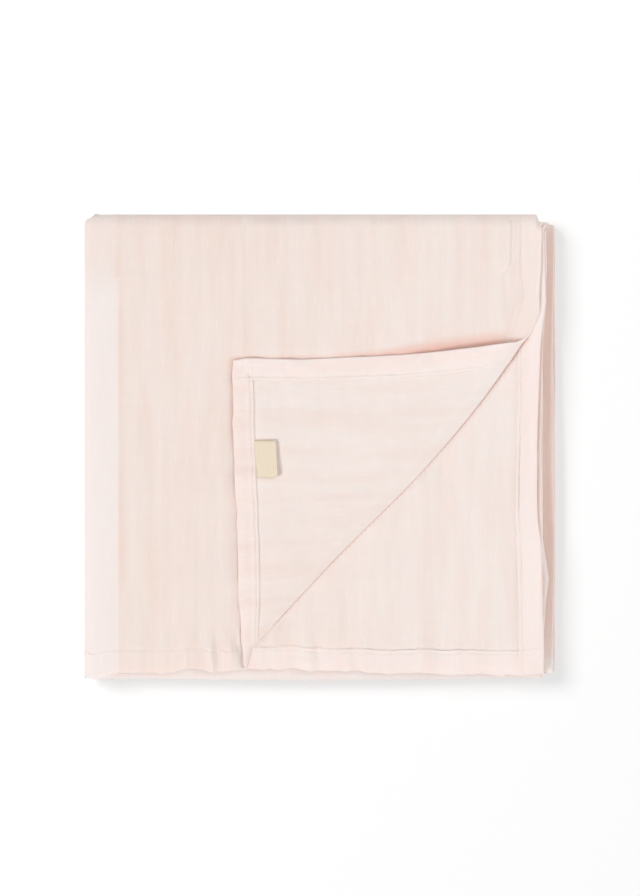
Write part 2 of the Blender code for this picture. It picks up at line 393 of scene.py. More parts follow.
# how strongly each layer stands up and sinks, how far it is lifted, and how deep a trough may be
uneven = dict(
    top=1.5,
    turned=2.1,
    second=1.9,
    lift=0.4,
    deepest=0.6,
    # height, seed, and mm from turn to turn in x and y
    topMottle=((0.38, 11, 8, 40), (0.15, 12, 4, 17)),
    turnedMottle=((0.45, 21, 14, 12), (0.13, 22, 10, 4)),
    secondMottle=((0.42, 31, 7, 40), (0.14, 32, 4, 16)),
    # how strongly the hems ripple, and how deep their seams are
    topRipple=0.65,
    turnedRipple=0.24,
    turnedSway=0.55,
    frontPucker=0.75,
    sideWave=0.12,
    groove=0.22,
    frontGroove=0.2,
    headUp=1.5,  # the turned corner stands up towards its head
    # the second layer rises beside the crest, most at its foot
    footUp=3,
    besideUp=1,
)
# on the face of the top layer, in the place where they lie
topFolds = (
    (-132, -128, -132, 114, 12, 3, 0.45),
    (-112.5, -150, -110.5, 22, 4, 7, -1),
    (-103, -100, -102, 45, 6, 8, 0.7),
    (-92, -5, -91, 40, 4, 5, -0.45),
    (-96.5, 44, -96, 66, 4, 5, -0.4),
    (-84, -120, -82, 10, 7, 7, 0.85),
    (-69, -118, -68, -30, 5, 6, -0.7),
    (-76, 20, -74, 120, 9, 9, 0.35),
    (-48.6, 62, -48.6, 152, 1.1, 1.6, -0.55),
    (-31, 60, -31, 152, 15, 30, 1.35),
    (-33.5, 128, -33.5, 150, 1.6, 2, -0.4),
    (-20, 116, -20.5, 146, 2, 2.4, -0.5),
    (-9, 96, -9, 150, 5, 5, 0.4),
    (1.8, 126, 1.6, 150, 2, 3, -0.6),
    (12, 104, 13, 146, 5, 5, 0.42),
    (28, 118, 27, 150, 2.4, 3.4, -0.6),
    (42, 74, 41, 150, 6, 7, 0.5),
    (59, 128, 58.5, 150, 2.4, 3.2, -0.5),
    (70, 92, 69, 152, 6, 5, 0.4),
    (86, 82, 85, 150, 5, 6, 0.5),
    (97, 120, 97, 150, 2.4, 3, -0.35),
    (106, 84, 106, 150, 6, 6, 0.45),
    # the wrinkle beside the right hem
    (128.4, 122, 128, 150, 1.1, 1.8, -0.75),
    (124.2, 112, 129, 123, 1.2, 1.6, -0.75),
    (124.6, 94, 124, 112, 1.2, 1.8, -0.8),
    (127.4, 72, 124.8, 94, 1.2, 2, -0.85),
    (120, 76, 119.5, 145, 4, 3, 0.45),
    (130.8, 78, 131.2, 150, 1.6, 1.8, 0.6),
    (124.6, 118, 125, 150, 2.4, 1.6, 0.6),
    # the front hem ruffles beside the turned corner
    (-118, -148, -118, -138, 4, 4, 0.35),
    (-88, -148, -88, -137, 3, 3, 0.8),
    (-79.4, -146, -79.4, -131, 2.4, 2.4, -0.9),
    (-70.6, -150, -71, -136, 2.8, 3.4, 2),
    (-65.6, -142, -65.8, -130, 2.6, 2.4, -1.3),
    (-59.6, -146, -58.8, -134, 3, 2.8, 1.5),
    (-54.2, -135, -54.2, -130, 2, 2.4, -0.6),
    (-50.4, -146, -50.6, -100, 1.4, 1.6, 0.8),
)
# on the back of the cloth where the corner is turned: from the flap's left edge, and down from its top edge
flapFolds = (
    (26, 16.5, 26, 30, 3, 3.4, -0.55),
    (36, 16.5, 37, 33, 2.8, 3.2, -0.5),
    (52, 16.5, 52, 27, 2.2, 2.8, -0.45),
    (66, 16.5, 65, 34, 3.6, 3.8, -0.5),
    (83, 17, 84, 30, 2.8, 3.4, -0.42),
    (103, 18, 102, 36, 3.4, 4, -0.45),
    (31, 16.5, 31, 28, 2.6, 2.6, 0.4),
    (44, 16.5, 44, 29, 3.4, 3.4, 0.4),
    (58, 16.5, 59, 30, 3, 3, 0.38),
    (75, 17, 75, 32, 3.8, 3.8, 0.4),
    (30, 1, 33, 13, 1.8, 2.6, -0.5),
    (38, 1, 43, 13, 1.6, 2.4, -0.55),
    (50, 2, 54, 13, 1.8, 2.6, -0.5),
    (66, 2, 69, 12, 2.2, 2.6, -0.45),
    (86, 2, 88, 12, 2.6, 2.6, -0.4),
    (8.5, 27, 8, 36, 3.2, 3.2, -0.75),
    (9, 46, 8.5, 54, 2.8, 3.2, -0.55),
    (8.5, 62, 8.5, 72, 3.2, 3.2, -0.45),
    (9, 83, 7.5, 92, 2.8, 3.6, -0.8),
    (6, 97, 9.5, 104, 2.4, 3.2, -0.9),
    (4, 91, 5.5, 96, 2.6, 2.6, 0.7),
    (8, 116, 8.5, 134, 3.2, 3.6, -0.6),
    (8, 142, 8, 153, 2.8, 3.2, -0.6),
    (8.5, 164, 8, 178, 2.8, 3.2, -0.6),
    (5, 108, 5, 114, 3.2, 3.2, 0.45),
    (5, 156, 5, 160, 3.2, 3.2, 0.45),
    (40, 60, 60, 96, 8, 8, 0.35),
    (28, 120, 40, 170, 7, 8, 0.35),
)
# on the second layer, where the turned corner leaves it bare
underFolds = (
    (70, -150, 68, -22, 8, 9, 1.45),
    (54.5, -138, 54, -82, 5, 5, 0.75),
    (43, -84, 42, -52, 4, 5, 0.65),
    (92, -140, 95, -10, 8, 9, 0.6),
    (112, -146, 113, 10, 8, 8, 0.6),
    (30, -146, 31, -80, 6, 6, 0.5),
    (12, -148, 11, -96, 5, 6, 0.55),
    (-8, -148, -9, -112, 4, 5, 0.55),
    (-25, -140, -26, -127, 2.2, 2.8, -0.5),
    (100, -10, 100, 30, 6, 6, 0.4),
)
# how far the top layer's free edges stand in: the front one by the distance along it from the corner,
# the right one by its place
frontIn = (
    (0, 0.4), (20, 1.4), (38, 0.5), (58, 0.1), (86, -0.2), (97, 1), (126, 0.9),
    (158, 0.4), (172, 1.2), (184, 0.9), (192, 0.6), (200, 0), (400, 0),
)
rightIn = (
    (-147, 0.4), (-124, 1.3), (-97, 2.1), (-66, 1.4), (-36, 1.5), (0, 1.8), (20, 2), (44, 2.7), (64, 3.6),
    (78, 1.4), (86, -1.2), (92, -4), (98, -5.6), (104, -4.8), (112, -2), (120, -1.3), (200, -1.3),
)
# where the turned corner's left edge lies, with what it leans by, up to where and over how many mm,
# and its top edge and shadow, with height, rise, start and over how many mm
cornerLies = dict(
    left=-57.4,
    leans=((7.2, 17, 140), (3.0, -123, 22)),
    top=(60, 12, -55, 185),
    shadow=(57.8, 12.2, -30, 160),
)


def hemPlace(x, y):
    # distance in from the nearest side edge and from the nearest end edge
    fromSide = np.minimum(rightEdge - x, x - leftEdge)
    fromEnd = np.minimum(y - frontEdge, backEdge - y)
    return fromSide, fromEnd


def cornerLeft(y):
    lean, bend = [amount * np.clip((end - y) / over, 0, 1) for amount, end, over in cornerLies["leans"]]
    return cornerLies["left"] + lean + bend


def cornerTop(x, height, rise, start, over):
    return height + rise * np.clip((x - start) / over, 0, 1) ** 2


def whereSeen(x, y):
    # how far each point is on the top layer's face, the turned corner and the bare part of the second layer
    share, past = crestPlace(x, y)
    panel = onTopPanel(x, y)
    flap = np.where(panel, rising(past, loopTurn(share), 8), 0.0)
    top = np.where(panel, 1 - rising(past, -16, 14), 0.0)
    cornerY = cornerTop(x, *cornerLies["top"])
    top = top * (1 - rising(x - cornerLeft(y), -2.5, 3) * falling(y, cornerY + 3, 6))
    lieX = 2 * halfX - turnLength(1) - x
    _, bare = pastCrest(lieX, y)
    under = np.where(onSecondPanel(x, y), rising(bare, -0.5, 4), 0.0)
    return top, flap, under, lieX


def relief(x, y):
    # how far the middle of the cloth stands off, towards its face
    top, flap, under, lieX = whereSeen(x, y)
    fromSide, fromEnd = hemPlace(x, y)
    edge, along = np.minimum(fromSide, fromEnd), np.where(fromSide < fromEnd, y, x + 2000)
    onHem = falling(edge, hem["wide"] + 2, 4)
    ripple = wander(along, 5, 4.2) * (0.5 + sway(along, 0.5, 6, 31))
    # top layer
    up = softFolds(x, y, topFolds)
    up += mottled(x, y, uneven["topMottle"])
    frontHem = falling(y, frontEdge + 19, 6)
    up += frontHem * uneven["topRipple"] * ripple * rising(x, -128, 20)
    up -= (uneven["groove"] + uneven["frontGroove"] * frontHem) * hump(edge, hem["stitchAt"], 0.7)
    onTop = top * (uneven["top"] * up + uneven["lift"])
    # turned corner, whose back is up
    fromTop, fromLeft = rightEdge - x, y - frontEdge
    up = softFolds(fromLeft, fromTop, flapFolds)
    up += mottled(x, y, uneven["turnedMottle"])
    up += onHem * (uneven["turnedRipple"] * ripple + sway(along, uneven["turnedSway"], 23, 9))
    up += grow(y, uneven["headUp"], -35, 60) * np.clip(1 - fromTop / 26, 0, 1) ** 2
    onFlap = flap * (uneven["turned"] * up + uneven["lift"])
    # second layer, whose back is up too
    up = softFolds(lieX, y, underFolds)
    up += mottled(lieX, y, uneven["secondMottle"])
    nearFront = falling(y, frontEdge + 24, 9)
    up += nearFront * uneven["frontPucker"] * wander(lieX, 33, 4.6) * falling(lieX, 122, 10)
    up += onHem * uneven["sideWave"] * wander(y, 34, 8) * rising(lieX, 125, 6)
    onUnder = under * (uneven["second"] * up + uneven["lift"])
    share, beside = pastCrest(lieX, y)
    nearCrest = hump(np.maximum(beside, 0), 0, 9)
    footUp = grow(beside, uneven["footUp"], -0.8, 2.2) * nearCrest * falling(y, -115, 10)
    besideUp = grow(beside, uneven["besideUp"], -0.6, 2.6) * nearCrest * rising(share, 0.3, 0.3)
    onUnder = notBelow(onUnder) + np.where(under > 0, footUp + besideUp, 0.0)
    return notBelow(onTop) - notBelow(onFlap) - onUnder, flap, under


def notBelow(up):
    # a trough stops short of the layer below
    deepest = uneven["deepest"]
    return np.where(up < 0, -deepest * np.tanh(-up / deepest), up)


def hemWander(along, side):
    # how far a hem's seam and inner fold stray from a straight line
    return sway(along, *hem["stray"][side])


def hemProfile(inwards, along):
    # 1 on the turned hem, and how it stands up between its edge, its seam and its inner fold
    onHem = falling(inwards, hem["wide"] + 0.2, 0.4)
    puff = swell(inwards, *hem["puff"]) * (1 + sway(along, *hem["puffSway"]))
    ridge = swell(inwards, *hem["ridge"]) * (1 + sway(along, *hem["ridgeSway"]))
    return onHem, puff + ridge - swell(inwards, *hem["groove"])


def clothSides(x, y):
    # where the face and the back of the cloth lie: turned hems on the back, and rounded edges
    fromSide, fromEnd = hemPlace(x, y)
    edge = np.minimum(fromSide, fromEnd)
    shift, flap, under = relief(x, y)
    seen = np.maximum(flap, under)
    rounded = np.sqrt(np.clip(1 - (1 - np.clip(edge / hem["rounding"], 0, 1)) ** 2, 0.02, 1))
    half = hem["thickness"] / 2 * rounded
    # the side hems lie over the end hems
    onSide, sideForm = hemProfile(fromSide + hemWander(y, "side") * ease(fromSide / 10), y)
    onEnd, endForm = hemProfile(fromEnd + hemWander(x, "end") * ease(fromEnd / 10), x)
    # the hem humps up over the label's root
    overLabel = falling(np.abs(x - labelMiddle), label["width"] / 2 + 1.5, 2.5) * (y < 0)
    height, middle, wide = hem["overRoot"]
    endForm = endForm + height * overLabel * hump(fromEnd, middle, wide)
    base = hem["proudHidden"] + (hem["proudSeen"] - hem["proudHidden"]) * seen
    sideProud = onSide * (base + seen * (sideForm + hem["crossing"] * onEnd * (1 + endForm)))
    endProud = (1 - onSide) * onEnd * (base + seen * endForm)
    outside = swell(edge - hem["wide"], *hem["outside"])
    proud = rounded * (sideProud + endProud) - seen * outside * (1 - onSide) * (1 - onEnd)
    return shift + half, shift - half - proud


def lies(x, y):
    # where a point of the cloth comes to lie, seen from above, before the last fold
    lieX = np.where(x < halfX, 2 * halfX - turnLength(1) - x, x)
    lieY = np.where(y > halfY, 2 * halfY + turnLength(2) - y, y)
    lieY = np.where(lieY > backRoll, 2 * backRoll + turnLength(4) - lieY, lieY)
    return lieX, lieY


# how free edges wander in their own plane, in mm
drifting = dict(
    reach=24,  # how far in the cloth moves with its edge
    # side edges: the second sheet's is bowed, and the edges below step out unevenly
    second=(0, (swell, -2.6, 5, 48), (fade, 1.8, -46, 22), (grow, 1.2, 60, 20), (grow, 2.0, 80, 8)),
    fourth=(1.2, (grow, 2.2, 60, 30), (sway, 0.3, 55, 30)),
    middle=(0.8, (swell, 2.4, 128, 26), (swell, 3.2, -92, 24)),
    middleSway=(0.7, 56, 26),
    # end edges: scallops, ruffles, and the corner where the stack is rolled
    scallops=(0, (sway, 0.6, 33, 4.6), (sway, 0.4, 52, 17)),
    ruffles=(0.6, 53, 6.5),
    leftOut=((fade, 0.8, -55, 12), (fade, 2.0, -88, 10)),
    rolledOuter=(2.0, -4, 10),
    rolledInner=(4.0, -2, 8),
    secondIn=(3.4, -50, 170),
    corner=(1.8, 0, 8),  # a rounded corner
)


def edgeDrift(x, y):
    fromSide, fromEnd = hemPlace(x, y)
    lieX, lieY = lies(x, y)
    outX, outY = outwards(x, y)
    reach = drifting["reach"]
    firstX, firstY = x > halfX, y < backRoll + 8
    # side edges
    drift = np.where(firstX, -np.interp(y, *zip(*rightIn)), total(y, *drifting["second"]))
    middle = total(lieY, *drifting["middle"]) + sway(lieY + 400 * outX, *drifting["middleSway"])
    lower = np.where(y > halfY, total(lieY, *drifting["fourth"]), middle)
    drift = np.where(firstY, drift, lower)
    driftX = outX * drift * falling(fromSide, reach, reach)
    # end edges
    offCorner = rising(fromSide, 6, 10)
    ruffle = sway(x, *drifting["ruffles"]) * rising(x, -120, 30) * offCorner
    ruffle = total(x, ruffle, *drifting["leftOut"]) - np.interp(rightEdge - x, *zip(*frontIn))
    pastRoll = leftRoll - lieX
    scallop = total(lieX, *drifting["scallops"]) * offCorner * (1 - rising(pastRoll, -8, 6))
    outer = firstX & firstY
    ruffle = ruffle + grow(pastRoll, *drifting["rolledOuter"])
    drift = np.where(outer, ruffle, scallop + grow(pastRoll, *drifting["rolledInner"]))
    driftY = outY * drift * falling(fromEnd, reach, reach)
    secondIn = grow(lieX, *drifting["secondIn"]) * falling(fromEnd, 80, 60)
    driftY = driftY - np.where(onSecondSheet(x, y), secondIn, 0.0)
    corner = np.where(outer, swell(np.hypot(fromSide, fromEnd), *drifting["corner"]), 0.0)
    return driftX - corner, driftY + corner


# the flat cloth
clothMesh = dict(
    fineStep=2.6,
    ruffleStep=1.2,
    crispX=(-134.6, -133.4, -132.4, -131.4, -130.4, -129.2, -50.4, -49.4, -48.6, -47.6, -46.2),
    coarseStrips=11,
    nearHalf=(10.5, 8.0, 6.4, 5.2, 4.2, 3.2, 2.0, 0.0),
    rollStrips={8: 20, 4: 10, 2: 8, 1: 6},
    # low x, high x, low y and high y of what is cut finely, and finer still
    topPanel=(leftRoll - 8, 200, -200, backRoll + 4),
    barePanel=(leftEdge - 1, leftEdge + 190, -200, 78),
    ruffles=(-96, -46, -149, -122),
    wrinkle=(121.5, 133.5, 70, 147),
    # distances of the lines along the crest
    acrossCrest=(-3, -1, 0, 0.7, 1.4, 2.1, 2.8, 3.6, 4.6, 5.8, 7.2, 8.8, 10.6, 12.6, 14.8, 17.2),
    keepClear=0.27,  # share of a step
    mergeWithin=0.05,
)
hemLines = (0.12, 0.45, 1.1, 2.6, 4.6, 6.8, 9.0, 11.2, 12.1, 12.6, 13.1, 14.1, 14.85, 15.15, 15.5, 16.6)


def evenSteps(start, end, strips):
    return [start + (end - start) * i / strips for i in range(strips + 1)]


def creaseLines(edge, roll, half, rollLayers, halfLayers):
    # distances in from the free edge, across the whole cloth
    toRoll, toHalf = abs(edge - roll), abs(edge - half)
    afterRoll = toRoll + turnLength(rollLayers)
    afterHalf = toHalf + turnLength(halfLayers)
    beforeHalf = [toHalf - line for line in clothMesh["nearHalf"]]
    near = list(hemLines) + evenSteps(18.6, toRoll, clothMesh["coarseStrips"])
    near += evenSteps(toRoll, afterRoll, clothMesh["rollStrips"][rollLayers])[1:]
    near += evenSteps(afterRoll, beforeHalf[0], clothMesh["coarseStrips"])[1:-1] + beforeHalf
    side = toHalf + afterHalf
    middle = evenSteps(toHalf, afterHalf, clothMesh["rollStrips"][halfLayers])[1:-1]
    return near + middle + [side - line for line in reversed(near)]


def cutLines(mesh, faces, cuts):
    # cuts the faces along each line in turn, given as a point and a normal
    verts = {vert for face in faces for vert in face.verts}
    edges = {edge for face in faces for edge in face.edges}
    geometry = list(verts) + list(edges) + list(faces)
    for origin, normal in cuts:
        cut = bmesh.ops.bisect_plane(mesh, geom=geometry, dist=1e-4, plane_co=origin, plane_no=normal)
        geometry = cut["geom"]


def fineLines(start, end, near, step):
    # even lines that keep clear of those already there
    count = round((end - start) / step)
    lines = evenSteps(start, end, count)[1:-1]
    clear = clothMesh["keepClear"] * step
    return [line for line in lines if min(abs(line - other) for other in near) > clear]


def facesWithin(mesh, lowX, highX, lowY, highY):
    found = []
    for face in mesh.faces:
        middle = face.calc_center_median()
        if lowX < middle.x < highX and lowY < middle.y < highY:
            found.append(face)
    return found


def cutPanel(mesh, box, nearX, nearY, crispX=(), step=clothMesh["fineStep"]):
    lowX, highX, lowY, highY = box
    acrossX = fineLines(lowX, highX, nearX, step) + list(crispX)
    cutLines(mesh, facesWithin(mesh, *box), [((x, 0, 0), (1, 0, 0)) for x in acrossX])
    acrossY = fineLines(lowY, highY, nearY, step)
    cutLines(mesh, facesWithin(mesh, *box), [((0, y, 0), (0, 1, 0)) for y in acrossY])


def shiftByBow(mesh, way):
    for vert in mesh.verts:
        fromFoot = np.array((vert.co.x, vert.co.y)) - crestFoot
        share = float(fromFoot @ alongCrest) / crestLength
        shift = way * float(crestBow(share) - loopSize("halfWidth", share))
        vert.co.x += acrossCrest[0] * shift
        vert.co.y += acrossCrest[1] * shift


def layPlan(mesh):
    # a point's place on the flat cloth, in metres
    plan = mesh.loops.layers.uv.new("clothPlan")
    for face in mesh.faces:
        for loop in face.loops:
            loop[plan].uv = (loop.vert.co.x * 0.001, loop.vert.co.y * 0.001)


def flatCloth():
    mesh = bmesh.new()
    bmesh.ops.create_grid(mesh, x_segments=1, y_segments=1, size=0.5)
    bmesh.ops.scale(mesh, vec=(clothWidth, clothLength, 1), verts=mesh.verts)
    middle = (rightEdge - clothWidth / 2, frontEdge + clothLength / 2, 0)
    bmesh.ops.translate(mesh, vec=middle, verts=mesh.verts)
    linesX = [rightEdge - line for line in creaseLines(rightEdge, leftRoll, halfX, 8, 1)]
    linesY = [frontEdge + line for line in creaseLines(frontEdge, backRoll, halfY, 4, 2)]
    cutLines(mesh, mesh.faces, [((x, 0, 0), (1, 0, 0)) for x in linesX])
    cutLines(mesh, mesh.faces, [((0, y, 0), (0, 1, 0)) for y in linesY])
    print("creased", len(mesh.faces), "faces")
    # finely where the top layer, its roll and the bare corner of the second layer show
    crispX = list(clothMesh["crispX"])
    cutPanel(mesh, clothMesh["topPanel"], linesX + crispX, linesY, crispX)
    cutPanel(mesh, clothMesh["barePanel"], linesX, linesY)
    # and finer still in the ruffles of the front hem and the wrinkle beside the right one
    cutPanel(mesh, clothMesh["ruffles"], crispX, linesY, step=clothMesh["ruffleStep"])
    cutPanel(mesh, clothMesh["wrinkle"], linesX, linesY, step=clothMesh["ruffleStep"])
    shiftByBow(mesh, -1)
    corner = facesWithin(mesh, leftRoll, math.inf, -math.inf, backRoll)
    normal, cuts = (acrossCrest[0], acrossCrest[1], 0), []
    for away in clothMesh["acrossCrest"]:
        cuts.append(((crestFoot[0] + normal[0] * away, crestFoot[1] + normal[1] * away, 0), normal))
    cutLines(mesh, corner, cuts)
    shiftByBow(mesh, 1)
    bmesh.ops.remove_doubles(mesh, verts=mesh.verts, dist=clothMesh["mergeWithin"])
    made = bmesh.ops.extrude_face_region(mesh, geom=mesh.faces[:])
    for vert in mesh.verts:
        vert.co.z = -1
    for item in made["geom"]:
        if isinstance(item, bmesh.types.BMVert):
            item.co.z = 1
    layPlan(mesh)
    bmesh.ops.recalc_face_normals(mesh, faces=mesh.faces)
    return mesh


def asData(name, mesh):
    data = bpy.data.meshes.new(name)
    mesh.to_mesh(data)
    mesh.free()
    return data


def placeNew(name, data):
    item = bpy.data.objects.new(name, data)
    bpy.context.scene.collection.objects.link(item)
    return item


def addPiece(name, mesh, material):
    data = asData(name, mesh)
    data.materials.append(material)
    data.shade_smooth()
    piece = placeNew(name, data)
    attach(piece, "root")
    return piece


def placesOf(data):
    places = np.empty(len(data.vertices) * 3)
    data.vertices.foreach_get("co", places)
    return places.reshape(-1, 3).T


def layFolded(piece, x, y, w):
    piece.data.vertices.foreach_set("co", fold(x, y, w).ravel())
    piece.data.update()


def foldPiece(piece):
    # the flat mesh holds which side each point is on in its z
    x, y, side = placesOf(piece.data)
    face, back = clothSides(x, y)
    driftX, driftY = edgeDrift(x, y)
    # how much paler each point is painted: the hems, and painted light on the rolled stack, the fold at
    # halfY and towards the right
    markPoints(piece, "paleHemAndPaintedLight", paleHemAndPaintedLight(x, y, side))
    # where the cloth gets painted shade, deeper and warmer
    markPoints(piece, "paintedShadeShare", 1 - clearOfPaintedShade(x, y, side))
    layFolded(piece, x + driftX, y + driftY, np.where(side > 0, face, back))


def markPoints(piece, name, values):
    mark = piece.data.attributes.new(name, "FLOAT", "POINT")
    mark.data.foreach_set("value", values)


# how much of the light from outside is lost in a shadow, or reaches in
shade = dict(corner=0.4, cornerRight=0.4, label=0.7, lowFold=0.7, foldEdge=0.6, rolled=0.85)


def clearOfPaintedShade(x, y, side):
    # 1 where the folded cloth can be seen, and 0 between its layers; less than 1 is painted shade, deeper
    # and warmer, standing in for shadow and for light that has come through cloth
    fromSide, fromEnd = hemPlace(x, y)
    _, flap, _, lieX = whereSeen(x, y)
    _, bare = pastCrest(lieX, y)
    under = np.where(onSecondPanel(x, y), rising(bare, -1.7, 2.6), 0.0)
    share, past = crestPlace(x, y)
    nose = np.where(onTopPanel(x, y), rising(past / loopTurn(share), 0.3, 0.2), 0.0)
    sheet = rising(x, halfX, 2) * falling(y, backRoll + turnLength(4), 3)
    # the corner's shadow on the top layer above its edge
    reach = 1.8 + grow(x, 8.0, 5, 90)
    shaded = falling(y, cornerTop(x, *cornerLies["shadow"]) + reach, reach)
    shaded = shaded * rising(x - cornerLeft(y), -1.2, 1.5) * (x < 140)
    sheet = sheet * (1 - shaded * (shade["corner"] + grow(x, shade["cornerRight"], 10, 60)))
    # the label's shadow on the turned corner, to its right and above it
    besideLabel = np.maximum(np.abs(x - labelMiddle - 0.8) - label["width"] / 2, 0)
    pastLabel = np.maximum(fromEnd - label["rootAt"] - label["length"], 0)
    labelShade = shade["label"] * ease(1 - np.hypot(besideLabel, pastLabel) / 3.0)
    flap = flap * (1 - labelShade * (fromEnd > hem["wide"]) * (y < 0))
    outer = np.where(side > 0, sheet, np.maximum(np.maximum(flap, nose), under))
    rims = falling(np.minimum(fromSide, fromEnd), 2.4, 1.6)
    # the second sheet's hem looks out beyond the first one's
    rims = np.where(onSecondSheet(x, y), np.maximum(rims, falling(fromSide, 6, 2)), rims)
    # the rolled corner in front is open to the light
    laidX, laidY = lies(x, y)
    rolled = falling(laidX, leftRoll + 3, 4) * rising(laidX - leftRoll, -32, 4)
    rims = np.maximum(rims, shade["rolled"] * rolled * falling(laidY, -129, 8))
    # the lower folds at the right, in the hollow beside the hems, and their lit edges
    fromFold = np.abs(halfX - turnLength(1) / 2 - x)
    rims = np.maximum(rims, fade(fromFold, shade["lowFold"], 11, 4))
    rims = np.maximum(rims, fade(fromFold, shade["foldEdge"], 3.4, 2))
    return np.maximum(outer, np.maximum(rims, falling(fromBackFold(y), 16, 4)))


# how much paler the hems are, and how strong the painted light is on the rolled stack and along the fold at
# halfY
paleness = dict(faceHem=0.2, backHem=0.36, frontHemLess=0.16, rolled=0.5, backFold=0.4)


def paleHemAndPaintedLight(x, y, side):
    # paler on the hems, four layers deep; painted light on the left band where the stack is rolled, along
    # the fold at halfY, and growing towards the right
    fromSide, fromEnd = hemPlace(x, y)
    hemmed = falling(np.minimum(fromSide, fromEnd), hem["wide"] + 0.4, 0.8)
    faceHem = 0.25 + grow(fromEnd, 0.5, 30, 60) * (fromSide < fromEnd)
    backHem = paleness["backHem"] - paleness["frontHemLess"] * ((fromEnd < fromSide) & (x > halfX))
    # painted light on the left band, up to the crease where the stack is rolled
    rolledTo = -131.3 + swell(y, 1.6, 112, 16) * np.sign(112 - y) - grow(y, 1.0, 96, 12)
    rolled = falling(x, rolledTo, 1.2) * rising(x, -190, 10) * (0.55 + fade(y, 0.45, 125, 30))
    lieX, _ = lies(x, y)
    # painted light, growing towards the right, and on the turned corner towards its head
    paintedLightTowardsHead = np.where(side > 0, grow(lieX, 0.15, -60, 160), grow(lieX, 0.2, -100, 200))
    paintedLightTowardsHead = paintedLightTowardsHead + grow(y, 0.3, 20, 40) * (side < 0) * (x > 0)
    pale = hemmed * np.where(side > 0, paleness["faceHem"] * faceHem, backHem)
    pale = np.maximum(pale, np.where(side > 0, paleness["rolled"] * rolled, 0.0))
    # painted light along the fold at halfY
    pale = np.maximum(pale, fade(fromBackFold(y), paleness["backFold"], 16, 5))
    return np.maximum(pale, paintedLightTowardsHead)


# materials
def hexColour(code):
    channels = [int(code[i : i + 2], 16) / 255 for i in (1, 3, 5)]
    return tuple(c / 12.92 if c <= 0.04045 else ((c + 0.055) / 1.055) ** 2.4 for c in channels) + (1,)


def feed(node, inputs):
    # each input is a value, or the socket that it comes from
    for name, value in inputs.items():
        if isinstance(value, bpy.types.NodeSocket):
            node.id_data.links.new(value, node.inputs[name])
        else:
            node.inputs[name].default_value = value


def addNode(tree, kind, settings, inputs):
    node = tree.nodes.new("ShaderNode" + kind)
    for name, value in settings.items():
        setattr(node, name, value)
    feed(node, inputs)
    return node


def newMaterial(name, surface):
    material = bpy.data.materials.new(name)
    material.use_nodes = True
    shader = material.node_tree.nodes["Principled BSDF"]
    feed(shader, surface)
    return material, material.node_tree, shader


def noiseAt(tree, across, along, detail, roughness, place=(0, 0, 0)):
    # noise on the flat cloth, with its grain in mm across and along
    plan = addNode(tree, "UVMap", dict(uv_map="clothPlan"), {}).outputs["UV"]
    scale = (1000 / across, 1000 / along, 1)
    placed = addNode(tree, "Mapping", {}, dict(Vector=plan, Scale=scale, Location=place)).outputs[0]
    inputs = dict(Vector=placed, Scale=1.0, Detail=detail, Roughness=roughness)
    return addNode(tree, "TexNoise", {}, inputs).outputs["Fac"]


def twoTones(tree, source, tones):
    ramp = addNode(tree, "ValToRGB", {}, dict(Fac=source))
    for element, (place, code) in zip(ramp.color_ramp.elements, tones):
        element.position = place
        element.color = hexColour(code)
    return ramp.outputs["Color"]


def bumpFrom(tree, height, strength, distance):
    inputs = dict(Height=height, Strength=strength, Distance=distance)
    return addNode(tree, "Bump", {}, inputs).outputs["Normal"]


muslin = dict(
    light="#F8EAE3",
    deep="#F0DDD5",
    blush="#FDF8F5",
    # the tone the hems are made paler with, and the painted light's
    pale="#F8EFEF",
    # the painted shade's tone
    paintedShadeTone="#FBD8CE",
    # grain in mm across and along, detail, where in the noise it lies, and from where it stands out.
    # It is 0.55 mm from thread to thread.
    grains=dict(
        cloud=(6, 60, 2, (0, 0, 0)),
        weft=(30, 5, 2, (3.1, 7.7, 0)),
        slub=(0.9, 13, 1, (9.3, 2.2, 0), 0.6, 0.72),
        weftSlub=(13, 0.9, 1, (4.4, 8.2, 0), 0.62, 0.76),
        fine=(0.55, 2.4, 1, (5.5, 1.2, 0)),
        fineWeft=(2.4, 0.55, 1, (1.5, 6.2, 0)),
        patches=(12, 110, 2, (2.6, 5.1, 0), 0.42, 0.72),
    ),
    roughness=0.55,
    # how strongly each shows in the tone, and in the threads that stand up
    tone=dict(cloud=0.6, weft=0.22, fine=0.07, slub=0.42),
    threads=dict(fine=0.5, fineWeft=0.5, slub=0.8, weftSlub=0.5),
    bump=(0.18, 0.0003),
    surface={
        "Roughness": 0.92,
        "Specular IOR Level": 0.2,
        "Sheen Weight": 0.25,
        "Sheen Roughness": 0.6,
        "Subsurface Weight": 0.35,
        "Subsurface Radius": (1.0, 0.68, 0.62),
        "Subsurface Scale": 0.0015,
    },
)


